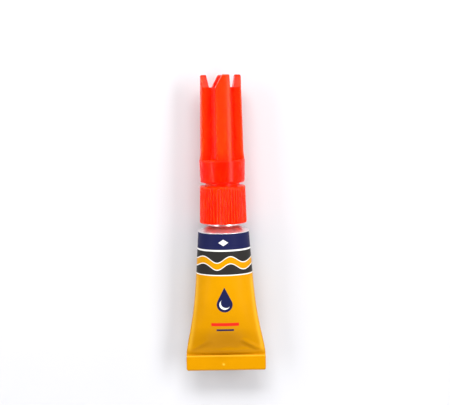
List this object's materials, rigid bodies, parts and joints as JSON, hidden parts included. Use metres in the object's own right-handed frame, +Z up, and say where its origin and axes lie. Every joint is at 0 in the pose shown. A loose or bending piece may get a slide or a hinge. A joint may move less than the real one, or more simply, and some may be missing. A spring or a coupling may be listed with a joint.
{
  "type": "super glue tube",
  "caption": "Small aluminium tube of instant glue with a double-folded tail, a ribbed orange nozzle collar and a winged, crowned orange cap.",
  "frame": {"origin": "on the surface the tube lies on, under the middle of its length and on its axis line", "axes": "+Y along the tube's axis toward the cap, +Z up out of the printed front, +X across the folded tail"},
  "size_m": [0.0158, 0.0582, 0.01],
  "materials": {
    "tube_enamel": "gloss",
    "sealant": "matte",
    "glue": "gloss",
    "orange_plastic": "gloss",
    "pin_steel": "satin"
  },
  "bodies": {
    "tube": {"tube_shell": "tube_enamel", "tail_sealant": "sealant", "glue": "glue"},
    "nozzle": {"nozzle": "orange_plastic"},
    "pin": {"cap_pin": "pin_steel"},
    "cap": {"cap": "orange_plastic"}
  },
  "joints": [
    {"name": "nozzle_travel", "type": "slide", "parent": "tube", "child": "nozzle", "axis": [0, 1, 0], "range_m": [0, 0.006]},
    {"name": "cap_lift", "type": "slide", "parent": "nozzle", "child": "pin", "axis": [0, 1, 0], "range_m": [0, 0.022]},
    {"name": "cap_twist", "type": "hinge", "parent": "pin", "child": "cap", "pos_m": [0, 0.026, 0.005], "axis": [0, 1, 0], "range_deg": [0, 1800]}
  ],
  "couplings": [
    {"joint": "cap_twist", "follows": "nozzle_travel", "rad_per_m": 5236}
  ]
}
